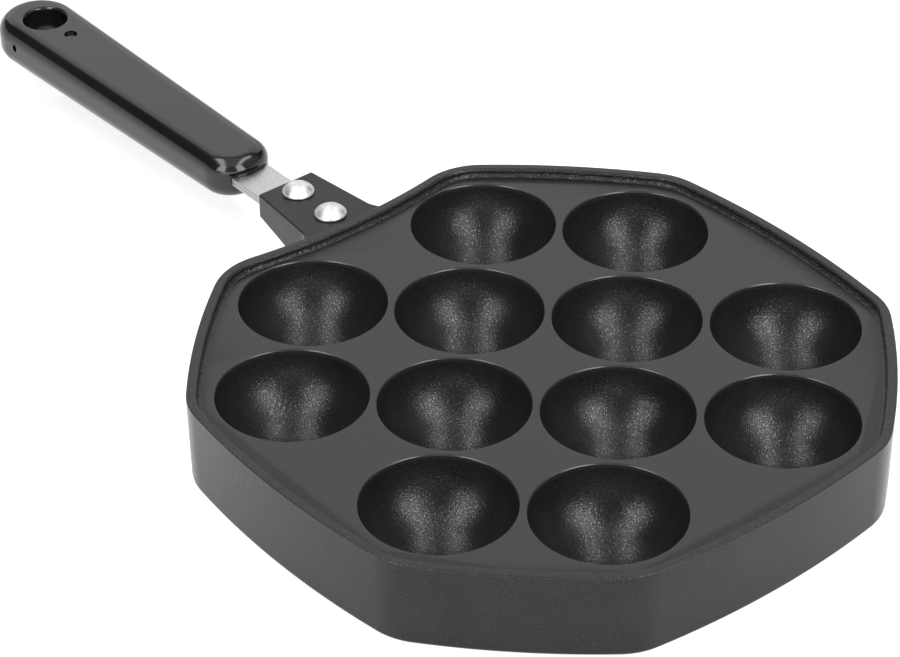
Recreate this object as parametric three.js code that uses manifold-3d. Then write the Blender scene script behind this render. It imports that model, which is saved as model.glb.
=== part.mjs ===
// A takoyaki pan: twelve round wells in one hollow aluminium casting with a cast lug, a flat steel
// tang riveted in a channel under the lug, and a grip moulded round the tang.
// Millimetres, +Z up. The origin is the middle of the cooking plate's top face, and +X runs along
// the handle. The grid of wells stands at 45 degrees to the handle.

import * as THREE from "three";
import { mergeVertices, toCreasedNormals } from "three/addons/utils/BufferGeometryUtils.js";
import Module from "manifold-3d";

const wasm = await Module();
wasm.setup();

// Wells: round-bottomed cups on a square grid whose four corner places are left out
const gridCells = 4;
const mouthDiameter = 41; // across the outer edge of the round at the mouth
const mouthGap = 1.15; // flat plate between two neighbouring mouths
const mouthRound = 0.5;
const wellDepth = 19.2;
const cupWall = 2.7;
const cupRaise = 0.7; // the cups end this far above the skirt's foot, on which the pan stands

// Plate, raised rim and skirt
const plateThickness = 3.6;
const rimHeight = 2.2;
const rimWidth = 2.8;
const rimRound = 0.8;
const plateFillet = 1.1; // between the plate and the inner face of the rim
const skirtDraft = 0.45; // how far the skirt leans in from the rim to the base
const skirtWall = 3;
const baseRound = 1;
const ceilingFillet = 2.5; // between the skirt's inner wall and the plate's underside

// Outline: eight bowed sides, of which the one that carries the handle is hollow
const sideCount = 8;
const longSideMargin = 8.4; // from the outermost mouths to the middle of a side along the rows
const longSideBow = 224; // radius of the sides that lie along the rows of wells
const cutSideMargin = 8.75; // the same on the sides across the corners that have no well
const cutSideBow = 256; // radius of the sides across those corners
const handleSideBow = 187; // radius of the hollow side
const handleSideInset = 5.85; // how far the hollow side's middle is set back from a bowed side's
const outlineShift = 0.6; // the outline's middle lies this far beyond the grid's, seen from the grip
const cornerRadius = 19.5;

// Lug: a thick tongue cast with the skirt, just above the plate's level, channelled underneath
const lugTop = 0.35; // above the plate
const lugReach = 28.8; // from the skirt to the lug's end
const lugEndWidth = 18.9;
const lugFlareShare = 0.098; // each side widens by this share of the distance from the end
const lugEndThickness = 7;
const lugRootThickness = 12.8;
const lugRoof = 4.2; // metal above the channel
const lugRootFillet = 7;
const lugEdgeBevel = 0.4;
const lugCornerRadius = 0.6;

// Tang: a flat steel strip
const tangWidth = 12.4;
const tangThickness = 2.4;
const tangBare = 15.5; // length in the open between the lug and the grip
const tangCorner = 2;
const keyHoleDiameter = 6; // the grip's moulding runs through this hole and locks the tang
const keyHoleInset = 17; // from the tang's rear end

// Rivets
const rivetSpacing = 14.8;
const rivetEndInset = 6.2; // from the lug's end to the outer rivet
const rivetShank = 4.5;
const rivetHeadDiameter = 9.1;
const rivetHeadEdge = 0.5;
const rivetHeadDome = 2.3;
const rivetTailDiameter = 7.6;
const rivetTailEdge = 0.5;
const rivetTailDome = 0.8;

// Grip
const gripLength = 120.8;
const gripTopAbovePlate = 0.6;
const gripRearWidth = 24.6;
const gripFrontWidth = 20.8;
const gripRearHeight = 14.5;
const gripFrontHeight = 13;
const gripFrontCorner = 9.6; // radius of the front corners in plan
const gripTopRound = 5;
const gripBottomRound = 6;
const hangHoleDiameter = 13.2;
const hangHoleInset = 15.8; // from the grip's rear end to the hole's axis
const hangHoleRound = 0.8;
const hangHoleWall = 3.1; // between the hole and the tang's rear end
const markDiameter = 3.8; // shallow round moulding mark on the top
const markFloorDiameter = 2.6;
const markDepth = 0.6;
const markInset = 12.9; // from the hanging hole's axis
const ventWidth = 1.2; // small upright slot in the grip's left side, near its rear end
const ventHeight = 2.1;
const ventDepth = 2.4;
const ventInset = 0.9; // from the hanging hole's axis, towards the front
const ventBelowTop = 5.6;

// Fits, and how far a cutter runs past what it cuts
const fitGap = 0.15; // between the tang, the rivets and what holds them
const overrun = 2;

// Fineness
const wellSegments = 24;
const wellSteps = 6;
const mouthSteps = 2;
const cupSegments = 20;
const cupSteps = 5;
const sideSteps = 5;
const cornerSteps = 4;
const roundSteps = 3;
const gripEndSteps = 10;
const holeSegments = 24;
const rivetSegments = 24;
const smoothBelow = THREE.MathUtils.degToRad(30);
const weldDistance = 1e-4;

// Values that follow from the sizes above
const sideAngle = (2 * Math.PI) / sideCount;
const wellPitch = mouthDiameter + mouthGap;
const mouthRadius = mouthDiameter / 2;
const wellRadius =
  (mouthRadius ** 2 + wellDepth ** 2 - 2 * mouthRound * wellDepth) / (2 * wellDepth);
const wellCentreHeight = wellRadius - wellDepth;
const baseDepth = wellDepth + cupWall + cupRaise;
const longSideMiddle = ((gridCells - 1) / 2) * wellPitch + mouthRadius + longSideMargin;
const cutSideMiddle = ((gridCells - 2) / Math.SQRT2) * wellPitch + mouthRadius + cutSideMargin;
const handleSideMiddle = cutSideMiddle - handleSideInset - outlineShift;
const lugEnd = handleSideMiddle + lugReach;
const outerRivetX = lugEnd - rivetEndInset;
const innerRivetX = outerRivetX - rivetSpacing;
const rivetHoleRadius = rivetShank / 2 + fitGap;
const tangTop = lugTop - lugRoof - fitGap;
const tangBottom = tangTop - tangThickness;
const channelHalfWidth = tangWidth / 2 + fitGap;
const channelStart = handleSideMiddle + skirtDraft;
const tangStart = channelStart + fitGap;
const gripFront = lugEnd + tangBare;
const gripRear = gripFront + gripLength;
const hangHoleX = gripRear - hangHoleInset;
const tangEnd = hangHoleX - hangHoleDiameter / 2 - hangHoleWall;
const keyHoleX = tangEnd - keyHoleInset;

// Points on a circle round a centre, from one angle to another, both ends included
function arcPoints(centre, radius, from, to, steps) {
  const points = [];
  for (let i = 0; i <= steps; i += 1) {
    const angle = from + ((to - from) * i) / steps;
    const x = centre.x + radius * Math.cos(angle);
    const y = centre.y + radius * Math.sin(angle);
    points.push(new THREE.Vector2(x, y));
  }
  return points;
}

// The same between two points on the circle, the short way round
function arcBetween(centre, start, end, steps) {
  const from = Math.atan2(start.y - centre.y, start.x - centre.x);
  const to = Math.atan2(end.y - centre.y, end.x - centre.x);
  const sweep = Math.atan2(Math.sin(to - from), Math.cos(to - from));
  return arcPoints(centre, start.distanceTo(centre), from, from + sweep, steps);
}

// A three.js geometry as a manifold solid
function solidOf(geometry) {
  const bare = geometry.clone();
  bare.deleteAttribute("normal");
  bare.deleteAttribute("uv");
  const merged = mergeVertices(bare, weldDistance);
  return new wasm.Manifold(
    new wasm.Mesh({
      numProp: 3,
      vertProperties: merged.attributes.position.array,
      triVerts: new Uint32Array(merged.index.array),
    }),
  );
}

// A manifold solid as a three.js geometry, smooth where its faces meet at a small angle
function geometryOf(solid) {
  const mesh = solid.getMesh();
  const geometry = new THREE.BufferGeometry();
  geometry.setAttribute("position", new THREE.BufferAttribute(mesh.vertProperties, 3));
  geometry.setIndex(new THREE.BufferAttribute(mesh.triVerts, 1));
  return toCreasedNormals(geometry, smoothBelow);
}

// A closed solid through a row of loops with as many points each, which run anticlockwise and go
// from the lower cap round the outside to the upper cap
function loft(loops) {
  const count = loops[0].length;
  const vertices = loops.flat();
  const index = [];
  for (let level = 0; level + 1 < loops.length; level += 1) {
    for (let i = 0; i < count; i += 1) {
      const next = (i + 1) % count;
      const a = level * count + i;
      const b = level * count + next;
      index.push(a, b, b + count, a, b + count, a + count);
    }
  }
  const caps = [loops[0], loops[loops.length - 1]].map((loop) => {
    const middle = new THREE.Vector3();
    loop.forEach((point) => middle.addScaledVector(point, 1 / count));
    return vertices.push(middle) - 1;
  });
  const last = (loops.length - 1) * count;
  for (let i = 0; i < count; i += 1) {
    const next = (i + 1) % count;
    index.push(caps[0], next, i, caps[1], last + i, last + next);
  }
  const geometry = new THREE.BufferGeometry().setFromPoints(vertices);
  geometry.setIndex(index);
  return solidOf(geometry);
}

// A solid of revolution about a vertical axis; the profile climbs from the axis to the axis
function revolve(profile, segments) {
  const geometry = new THREE.LatheGeometry(profile, segments);
  geometry.rotateX(Math.PI / 2);
  return solidOf(geometry);
}

// A box between two corners
function box(low, high) {
  const size = high.clone().sub(low);
  const geometry = new THREE.BoxGeometry(size.x, size.y, size.z);
  const middle = low.clone().add(high).divideScalar(2);
  geometry.translate(middle.x, middle.y, middle.z);
  return solidOf(geometry);
}

// An upright cylinder
function post(radius, bottom, top, segments) {
  const profile = [
    new THREE.Vector2(0, bottom),
    new THREE.Vector2(radius, bottom),
    new THREE.Vector2(radius, top),
    new THREE.Vector2(0, top),
  ];
  return revolve(profile, segments);
}

// The eight sides of the pan as circles, anticlockwise from the side that carries the handle
function sideCircles() {
  const circles = [];
  for (let side = 0; side < sideCount; side += 1) {
    const hollow = side === 0;
    const alongRows = side % 2 === 1;
    const bow = alongRows ? longSideBow : cutSideBow;
    const middle = alongRows ? longSideMiddle : cutSideMiddle;
    const angle = side * sideAngle;
    const reach = hollow ? middle - handleSideInset + handleSideBow : middle - bow;
    const x = reach * Math.cos(angle) - outlineShift;
    circles.push({
      centre: new THREE.Vector2(x, reach * Math.sin(angle)),
      radius: hollow ? handleSideBow : bow,
      sign: hollow ? -1 : 1,
    });
  }
  return circles;
}

// The middle of the round between a side and the next: it lies one corner radius inside both circles
function cornerMiddle(circles, side) {
  const first = circles[side];
  const second = circles[(side + 1) % sideCount];
  const a = first.radius - first.sign * cornerRadius;
  const b = second.radius - second.sign * cornerRadius;
  const between = second.centre.clone().sub(first.centre);
  const distance = between.length();
  const along = (a * a - b * b + distance * distance) / (2 * distance);
  const across = Math.sqrt(a * a - along * along);
  const foot = first.centre.clone().addScaledVector(between, along / distance);
  const sideways = new THREE.Vector2(-between.y, between.x).divideScalar(distance);
  const either = [across, -across].map((step) => foot.clone().addScaledVector(sideways, step));
  const angle = (side + 1 / 2) * sideAngle;
  const towards = new THREE.Vector2(Math.cos(angle), Math.sin(angle));
  return either[0].dot(towards) > either[1].dot(towards) ? either[0] : either[1];
}

// Where a side, drawn in by the inset, runs into the round about the corner's middle
function tangentPoint(circle, corner, inset) {
  const radius = circle.radius - circle.sign * inset;
  return corner.clone().sub(circle.centre).setLength(radius).add(circle.centre);
}

// The pan's outline at a height, drawn in by the inset
function panLoop(inset, height) {
  const circles = sideCircles();
  const corners = circles.map((circle, i) => cornerMiddle(circles, i));
  const loop = [];
  circles.forEach((circle, i) => {
    const before = corners[(i + sideCount - 1) % sideCount];
    const after = corners[i];
    const start = tangentPoint(circle, before, inset);
    const end = tangentPoint(circle, after, inset);
    const turned = tangentPoint(circles[(i + 1) % sideCount], after, inset);
    loop.push(...arcBetween(circle.centre, start, end, sideSteps).slice(0, -1));
    loop.push(...arcBetween(after, end, turned, cornerSteps).slice(0, -1));
  });
  return loop.map((point) => new THREE.Vector3(point.x, point.y, height));
}

// Profiles below are pairs of inset (as x) and height (as y)
function loftOutline(profile, loopAt) {
  return loft(profile.map((point) => loopAt(point.x, point.y)));
}

// Outer faces of the casting: base, skirt, rim and the plate inside the rim
function panOutside() {
  const quarter = Math.PI / 2;
  const at = (x, y) => new THREE.Vector2(x, y);
  const rimShoulder = rimHeight - rimRound;
  const profile = [
    ...arcPoints(
      at(skirtDraft + baseRound, baseRound - baseDepth),
      baseRound,
      -quarter,
      -2 * quarter,
      roundSteps,
    ),
    ...arcPoints(at(rimRound, rimShoulder), rimRound, 2 * quarter, quarter, roundSteps),
    ...arcPoints(at(rimWidth - rimRound, rimShoulder), rimRound, quarter, 0, roundSteps),
    ...arcPoints(
      at(rimWidth + plateFillet, plateFillet),
      plateFillet,
      2 * quarter,
      3 * quarter,
      roundSteps,
    ),
  ];
  return loftOutline(profile, panLoop);
}

// The hollow under the plate
function underside() {
  const quarter = Math.PI / 2;
  const wall = skirtDraft + skirtWall;
  const profile = [
    new THREE.Vector2(wall, -baseDepth - overrun),
    ...arcPoints(
      new THREE.Vector2(wall + ceilingFillet, -plateThickness - ceilingFillet),
      ceilingFillet,
      2 * quarter,
      quarter,
      roundSteps,
    ),
  ];
  return loftOutline(profile, panLoop);
}

// The outside of one cup: a ball, up to the inside of the plate
function cupOutside() {
  const radius = wellRadius + cupWall;
  const centre = new THREE.Vector2(0, wellCentreHeight);
  const top = -plateThickness / 2;
  const highest = Math.asin((top - wellCentreHeight) / radius);
  const ball = arcPoints(centre, radius, -Math.PI / 2, highest, cupSteps);
  ball[0].x = 0;
  return revolve([...ball, new THREE.Vector2(0, top)], cupSegments);
}

// What one well takes out of the plate, with the round at its mouth
function wellInside() {
  const centre = new THREE.Vector2(0, wellCentreHeight);
  const roundMiddle = new THREE.Vector2(mouthRadius, -mouthRound);
  const lean = Math.atan2(roundMiddle.y - centre.y, roundMiddle.x);
  const bowl = arcPoints(centre, wellRadius, -Math.PI / 2, lean, wellSteps);
  bowl[0].x = 0;
  const mouth = arcPoints(roundMiddle, mouthRound, lean + Math.PI, Math.PI / 2, mouthSteps);
  const profile = [
    ...bowl,
    ...mouth.slice(1),
    new THREE.Vector2(mouthRadius, overrun),
    new THREE.Vector2(0, overrun),
  ];
  return revolve(profile, wellSegments);
}

// Middles of the wells: the grid without its corners, turned by 45 degrees
function wellPlaces() {
  const places = [];
  const last = gridCells - 1;
  for (let row = 0; row < gridCells; row += 1) {
    for (let column = 0; column < gridCells; column += 1) {
      const endRow = row === 0 || row === last;
      const endColumn = column === 0 || column === last;
      if (endRow && endColumn) continue;
      const place = new THREE.Vector2(column - last / 2, row - last / 2);
      place.multiplyScalar(wellPitch).rotateAround(new THREE.Vector2(), Math.PI / 4);
      places.push(place);
    }
  }
  return places;
}

// The lug seen from above: a tongue that widens towards the skirt and flares into it
function lugPlan() {
  const lean = Math.atan(lugFlareShare);
  const halfEnd = lugEndWidth / 2;
  const flareStart = handleSideMiddle + lugRootFillet * (1 - Math.sin(lean));
  const flareHalf = halfEnd + lugFlareShare * (lugEnd - flareStart);
  const flareMiddle = flareHalf + lugRootFillet * Math.cos(lean);
  const root = handleSideMiddle - skirtWall / 2;
  const cornerX = lugEnd - lugCornerRadius;
  const cornerY = halfEnd - lugCornerRadius;
  const quarter = Math.PI / 2;
  const flareX = handleSideMiddle + lugRootFillet;
  const plan = new THREE.Shape();
  plan.moveTo(root, -flareMiddle);
  plan.lineTo(handleSideMiddle, -flareMiddle);
  plan.absarc(flareX, -flareMiddle, lugRootFillet, 2 * quarter, quarter + lean, true);
  plan.absarc(cornerX, -cornerY, lugCornerRadius, -quarter - lean, 0, false);
  plan.absarc(cornerX, cornerY, lugCornerRadius, 0, quarter - lean, false);
  plan.absarc(flareX, flareMiddle, lugRootFillet, lean - quarter, -2 * quarter, true);
  plan.lineTo(root, flareMiddle);
  plan.closePath();
  return plan;
}

// The lug seen from the side: its underside climbs from the skirt to the end
function lugSide() {
  const root = handleSideMiddle - skirtWall;
  const slope = (lugRootThickness - lugEndThickness) / lugReach;
  const side = new THREE.Shape();
  side.moveTo(root, lugTop + overrun);
  side.lineTo(root, lugTop - lugEndThickness - slope * (lugEnd - root));
  side.lineTo(lugEnd + overrun, lugTop - lugEndThickness + slope * overrun);
  side.lineTo(lugEnd + overrun, lugTop + overrun);
  side.closePath();
  return side;
}

// The cast lug with the tang's channel and the two rivet holes
function lug() {
  const curveSegments = roundSteps;
  const block = new THREE.ExtrudeGeometry(lugPlan(), {
    depth: lugRootThickness + overrun,
    curveSegments,
    bevelThickness: lugEdgeBevel,
    bevelSize: lugEdgeBevel,
    bevelOffset: -lugEdgeBevel,
    bevelSegments: 1,
  });
  block.translate(0, 0, lugTop - lugRootThickness - overrun - lugEdgeBevel);
  const breadth = lugEndWidth + 2 * lugFlareShare * lugReach + 4 * lugRootFillet;
  const wedge = new THREE.ExtrudeGeometry(lugSide(), { depth: breadth, bevelEnabled: false });
  wedge.translate(0, 0, -breadth / 2);
  wedge.rotateX(Math.PI / 2);
  const channel = box(
    new THREE.Vector3(channelStart, -channelHalfWidth, -lugRootThickness - overrun),
    new THREE.Vector3(lugEnd + overrun, channelHalfWidth, lugTop - lugRoof),
  );
  const hole = post(rivetHoleRadius, tangBottom, lugTop + overrun, rivetSegments);
  return solidOf(block)
    .intersect(solidOf(wedge))
    .subtract(channel)
    .subtract(hole.translate([outerRivetX, 0, 0]))
    .subtract(hole.translate([innerRivetX, 0, 0]));
}

function panBody() {
  const well = wellInside();
  const cup = cupOutside();
  let casting = panOutside().subtract(underside());
  for (const place of wellPlaces()) {
    casting = casting.add(cup.translate([place.x, place.y, 0]));
  }
  for (const place of wellPlaces()) {
    casting = casting.subtract(well.translate([place.x, place.y, 0]));
  }
  return casting.add(lug());
}

// The flat strip with its rounded corners, rivet holes and key hole
function tang() {
  const half = tangWidth / 2;
  const quarter = Math.PI / 2;
  const plan = new THREE.Shape();
  plan.absarc(tangEnd - tangCorner, half - tangCorner, tangCorner, 0, quarter, false);
  plan.absarc(tangStart + tangCorner, half - tangCorner, tangCorner, quarter, 2 * quarter, false);
  plan.absarc(tangStart + tangCorner, tangCorner - half, tangCorner, -2 * quarter, -quarter, false);
  plan.absarc(tangEnd - tangCorner, tangCorner - half, tangCorner, -quarter, 0, false);
  plan.closePath();
  const strip = new THREE.ExtrudeGeometry(plan, {
    depth: tangThickness,
    curveSegments: roundSteps,
    bevelEnabled: false,
  });
  strip.translate(0, 0, tangBottom);
  const low = tangBottom - overrun;
  const high = tangTop + overrun;
  const rivetHole = post(rivetHoleRadius, low, high, rivetSegments);
  const keyHole = post(keyHoleDiameter / 2, low, high, holeSegments);
  return solidOf(strip)
    .subtract(rivetHole.translate([outerRivetX, 0, 0]))
    .subtract(rivetHole.translate([innerRivetX, 0, 0]))
    .subtract(keyHole.translate([keyHoleX, 0, 0]));
}

// A shallow dome on a short cylinder, as points from the rim of its flat side to its crown
function domeProfile(diameter, edge, dome) {
  const half = diameter / 2;
  const radius = (half * half + dome * dome) / (2 * dome);
  const centre = new THREE.Vector2(0, edge + dome - radius);
  const lean = Math.asin((radius - dome) / radius);
  const crown = arcPoints(centre, radius, lean, Math.PI / 2, 2 * roundSteps);
  crown[crown.length - 1].x = 0;
  return [new THREE.Vector2(half, 0), ...crown];
}

// A rivet: domed head on the lug, shank through lug and tang, upset tail under the tang
function rivet() {
  const headSeat = lugTop + fitGap;
  const tailSeat = tangBottom - fitGap;
  const head = domeProfile(rivetHeadDiameter, rivetHeadEdge, rivetHeadDome).map(
    (point) => new THREE.Vector2(point.x, headSeat + point.y),
  );
  const tail = domeProfile(rivetTailDiameter, rivetTailEdge, rivetTailDome).map(
    (point) => new THREE.Vector2(point.x, tailSeat - point.y),
  );
  const shank = [
    new THREE.Vector2(rivetShank / 2, tailSeat),
    new THREE.Vector2(rivetShank / 2, headSeat),
  ];
  return revolve([...tail.reverse(), ...shank, ...head], rivetSegments);
}

// The grip's outline seen from above, drawn in by the inset: a round rear end, tapering sides and
// a front end with large round corners
function gripOutline(inset) {
  const rearRadius = gripRearWidth / 2;
  const rear = new THREE.Vector2(gripRear - rearRadius, 0);
  const front = new THREE.Vector2(
    gripFront + gripFrontCorner,
    gripFrontWidth / 2 - gripFrontCorner,
  );
  const gap = rear.distanceTo(front);
  const tilt = Math.atan2(front.y, rear.x - front.x);
  const lean = Math.asin((rearRadius - gripFrontCorner) / gap) - tilt;
  const side = Math.PI / 2 + lean;
  const rearArc = arcPoints(rear, rearRadius - inset, -side, side, 2 * gripEndSteps);
  const left = arcPoints(front, gripFrontCorner - inset, side, Math.PI, gripEndSteps);
  const right = left.map((point) => new THREE.Vector2(point.x, -point.y)).reverse();
  return [...rearArc, ...left, ...right];
}

// The grip at one level: drop is the distance under the top at the rear, and it shrinks with the
// grip's height towards the front
function gripLoop(inset, drop) {
  return gripOutline(inset).map((point) => {
    const share = (gripRear - point.x) / gripLength;
    const height = THREE.MathUtils.lerp(gripRearHeight, gripFrontHeight, share);
    const z = gripTopAbovePlate - (drop * height) / gripRearHeight;
    return new THREE.Vector3(point.x, point.y, z);
  });
}

// The grip's outer faces: the outline rounded over into a flat top and a flat bottom
function gripOutside() {
  const quarter = Math.PI / 2;
  const under = new THREE.Vector2(gripBottomRound, gripRearHeight - gripBottomRound);
  const over = new THREE.Vector2(gripTopRound, gripTopRound);
  const profile = [
    ...arcPoints(under, gripBottomRound, quarter, 2 * quarter, 2 * roundSteps),
    ...arcPoints(over, gripTopRound, 2 * quarter, 3 * quarter, 2 * roundSteps),
  ];
  return loftOutline(profile, gripLoop);
}

// The hanging hole's cutter, which widens at both faces
function hangHole() {
  const radius = hangHoleDiameter / 2;
  const top = gripTopAbovePlate;
  const bottom = gripTopAbovePlate - gripRearHeight;
  const wide = radius + hangHoleRound;
  const profile = [
    new THREE.Vector2(0, bottom - overrun),
    new THREE.Vector2(wide, bottom - overrun),
    ...arcPoints(
      new THREE.Vector2(wide, bottom + hangHoleRound),
      hangHoleRound,
      -Math.PI / 2,
      -Math.PI,
      roundSteps,
    ),
    ...arcPoints(
      new THREE.Vector2(wide, top - hangHoleRound),
      hangHoleRound,
      Math.PI,
      Math.PI / 2,
      roundSteps,
    ),
    new THREE.Vector2(wide, top + overrun),
    new THREE.Vector2(0, top + overrun),
  ];
  return revolve(profile, holeSegments).translate([hangHoleX, 0, 0]);
}

// The shallow round mark on the grip's top
function mouldMark() {
  const wall = (markDiameter - markFloorDiameter) / 2;
  const widening = (wall * overrun) / markDepth;
  const profile = [
    new THREE.Vector2(0, gripTopAbovePlate - markDepth),
    new THREE.Vector2(markFloorDiameter / 2, gripTopAbovePlate - markDepth),
    new THREE.Vector2(markDiameter / 2 + widening, gripTopAbovePlate + overrun),
    new THREE.Vector2(0, gripTopAbovePlate + overrun),
  ];
  return revolve(profile, holeSegments).translate([hangHoleX - markInset, 0, 0]);
}

// The small blind slot in the grip's left side, for a locating pin of the mould
function vent() {
  const x = hangHoleX - ventInset;
  const z = gripTopAbovePlate - ventBelowTop;
  const side = gripRearWidth / 2;
  return box(
    new THREE.Vector3(x - ventWidth / 2, side - ventDepth, z - ventHeight / 2),
    new THREE.Vector3(x + ventWidth / 2, side + overrun, z + ventHeight / 2),
  );
}

// The grip: a hollow for the tang, with the plug of moulding that runs through the tang's key hole
function grip() {
  const socket = box(
    new THREE.Vector3(gripFront - overrun, -channelHalfWidth, tangBottom - fitGap),
    new THREE.Vector3(tangEnd + fitGap, channelHalfWidth, tangTop + fitGap),
  );
  const plug = post(
    keyHoleDiameter / 2 - fitGap,
    tangBottom - overrun,
    tangTop + overrun,
    holeSegments,
  ).translate([keyHoleX, 0, 0]);
  return gripOutside()
    .subtract(socket)
    .add(plug)
    .subtract(hangHole())
    .subtract(mouldMark())
    .subtract(vent());
}

const coating = new THREE.MeshStandardMaterial({ color: 0x2b2b2d, roughness: 0.55, metalness: 0.2 });
const steel = new THREE.MeshStandardMaterial({ color: 0xc9cacc, roughness: 0.32, metalness: 1 });
const aluminium = new THREE.MeshStandardMaterial({
  color: 0xe4e5e7,
  roughness: 0.25,
  metalness: 1,
});
const moulding = new THREE.MeshStandardMaterial({ color: 0x101011, roughness: 0.2, metalness: 0 });

const group = new THREE.Group();

function place(name, solid, material, x = 0) {
  const mesh = new THREE.Mesh(geometryOf(solid), material);
  mesh.name = name;
  mesh.position.x = x;
  group.add(mesh);
}

place("pan_body", panBody(), coating);
place("tang", tang(), steel);
place("rivet_outer", rivet(), aluminium, outerRivetX);
place("rivet_inner", rivet(), aluminium, innerRivetX);
place("grip", grip(), moulding);

export default group;
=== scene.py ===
"""Looks of the takoyaki pan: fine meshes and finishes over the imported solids, with studio light."""

import math

import bmesh
import bpy
from mathutils import Matrix, Vector


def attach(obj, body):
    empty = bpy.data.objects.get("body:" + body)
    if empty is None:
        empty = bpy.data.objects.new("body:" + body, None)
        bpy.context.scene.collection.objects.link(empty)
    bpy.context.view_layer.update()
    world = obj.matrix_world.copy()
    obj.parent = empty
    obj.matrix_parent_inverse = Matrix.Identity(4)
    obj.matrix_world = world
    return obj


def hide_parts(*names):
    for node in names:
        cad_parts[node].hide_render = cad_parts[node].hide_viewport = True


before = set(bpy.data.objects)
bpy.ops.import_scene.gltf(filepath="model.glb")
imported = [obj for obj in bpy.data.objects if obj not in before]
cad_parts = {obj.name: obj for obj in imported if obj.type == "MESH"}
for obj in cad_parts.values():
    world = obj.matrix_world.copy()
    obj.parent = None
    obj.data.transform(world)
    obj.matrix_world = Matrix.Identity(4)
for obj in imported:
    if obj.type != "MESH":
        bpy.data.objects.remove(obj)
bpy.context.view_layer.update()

MM = 0.001
QUARTER = math.pi / 2
UPWARDS = Vector((0, 0, 1))
WELD = 1e-6  # vertices nearer than this, in metres, become one

# ------------------------------------------------------- sizes as in the solids, in millimetres
PITCH = 42.15
MOUTH_RADIUS = 20.5
MOUTH_ROUND = 0.5
WELL_DEPTH = 19.2
CUP_WALL = 2.7
BASE_DEPTH = 22.6
PLATE_THICKNESS = 3.6
RIM_HEIGHT = 2.2
RIM_WIDTH = 2.8
RIM_ROUND = 0.8
PLATE_FILLET = 1.1
SKIRT_DRAFT = 0.45
SKIRT_WALL = 3.0
BASE_ROUND = 1.0
CEILING_FILLET = 2.5
LONG_SIDE = 92.125
CUT_SIDE = 88.859
HANDLE_INSET = 5.85
OUTLINE_SHIFT = 0.6
HANDLE_SIDE = CUT_SIDE - HANDLE_INSET - OUTLINE_SHIFT
LONG_BOW = 224.0
CUT_BOW = 256.0
HANDLE_BOW = 187.0
CORNER_RADIUS = 19.5
LUG_TOP = 0.35
LUG_END = 111.209
LUG_END_WIDTH = 18.9
LUG_END_CORNER = 0.6
LUG_FLARE = 0.098
LUG_END_THICKNESS = 7.0
LUG_ROOT_THICKNESS = 12.8
LUG_ROOF = 4.2
LUG_ROOT_FILLET = 7.0
FIT = 0.15
TANG_WIDTH = 12.4
TANG_THICKNESS = 2.4
TANG_TOP = LUG_TOP - LUG_ROOF - FIT
TANG_END = 222.009
RIVET_PLACES = {"rivet_outer": 105.009, "rivet_inner": 90.209}
RIVET_HEAD = {"diameter": 9.1, "edge": 0.5, "rise": 2.3}
RIVET_TAIL = {"diameter": 7.6, "edge": 0.5, "rise": 0.8}
RIVET_SHANK_RADIUS = 2.25
RIVET_HOLE_RADIUS = 2.4
GRIP_FRONT = 126.709
GRIP_LENGTH = 120.8
GRIP_TOP = 0.6
GRIP_REAR_WIDTH = 24.6
GRIP_FRONT_WIDTH = 20.8
GRIP_REAR_HEIGHT = 14.5
GRIP_FRONT_HEIGHT = 13.0
GRIP_FRONT_CORNER = 9.6
GRIP_TOP_ROUND = 5.0
GRIP_BOTTOM_ROUND = 6.0
HANG_HOLE_X = 231.709
HANG_HOLE_RADIUS = 6.6
HANG_HOLE_ROUND = 0.8
VENT_X = HANG_HOLE_X - 0.9
VENT_Z = GRIP_TOP - 5.6
VENT_DEPTH = 2.4

# --------------------------------------------- sizes of the fine meshes alone, in millimetres
SKIN = 0.12  # the outline is drawn in by this, which keeps it inside the solids' box
RIM_EDGE = 0.3  # the crest's outer edge, crisper than in the solids
CREST_BAND = 0.4  # a ring this far below that edge keeps the crest's finish off the skirt
CREST_BAND_INSET = 0.01
LUG_TOP_EDGE = 0.5
TANG_EDGE = 0.3
RIVET_EASE = 0.12
# the mark and the vent hole are a little larger than in the solids
MARK_PLACE = (HANG_HOLE_X - 12.9, -0.6)
MARK_RADIUS = 2.1
MARK_DEPTH = 0.9
MARK_LEAN = 0.1
VENT_HALF_WIDTH = 0.95
VENT_HALF_HEIGHT = 1.2
PAST = 3.0  # how far a cutting body reaches past what it cuts
SLACK = 0.02  # how far off a surface a vertex may lie and still count as on it

WELL_RADIUS = (MOUTH_RADIUS**2 + WELL_DEPTH**2 - 2 * MOUTH_ROUND * WELL_DEPTH) / (2 * WELL_DEPTH)
WELL_HEIGHT = WELL_RADIUS - WELL_DEPTH
ROWS = (-1.5, -0.5, 0.5, 1.5)  # in pitches from the grid's middle
WELLS = [
    (PITCH * (a - b) / math.sqrt(2), PITCH * (a + b) / math.sqrt(2))
    for a in ROWS
    for b in ROWS
    if abs(a) + abs(b) < 3
]


# ------------------------------------------------------------------------------ mesh helpers
def arc(x, y, radius, start, end, steps):
    """Points on a circle from one angle to another, both ends included."""
    turns = [start + (end - start) * i / steps for i in range(steps + 1)]
    return [(x + radius * math.cos(t), y + radius * math.sin(t)) for t in turns]


def arc_between(centre, start, end, steps):
    """The same between two points of the circle, the short way round."""
    a = math.atan2(start[1] - centre[1], start[0] - centre[0])
    b = math.atan2(end[1] - centre[1], end[0] - centre[0])
    sweep = math.atan2(math.sin(b - a), math.cos(b - a))
    return arc(centre[0], centre[1], math.dist(start, centre), a, a + sweep, steps)


def full_turn(steps):
    """The angles of a closed ring."""
    return [2 * math.pi * i / steps for i in range(steps)]


def new_object(name, vertices, faces):
    """An object in the scene from vertices in millimetres."""
    mesh = bpy.data.meshes.new(name)
    mesh.from_pydata([[c * MM for c in v] for v in vertices], [], faces)
    mesh.update()
    return in_scene(bpy.data.objects.new(name, mesh))


def in_scene(made):
    """Adds a new object to the scene."""
    bpy.context.scene.collection.objects.link(made)
    return made


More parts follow.
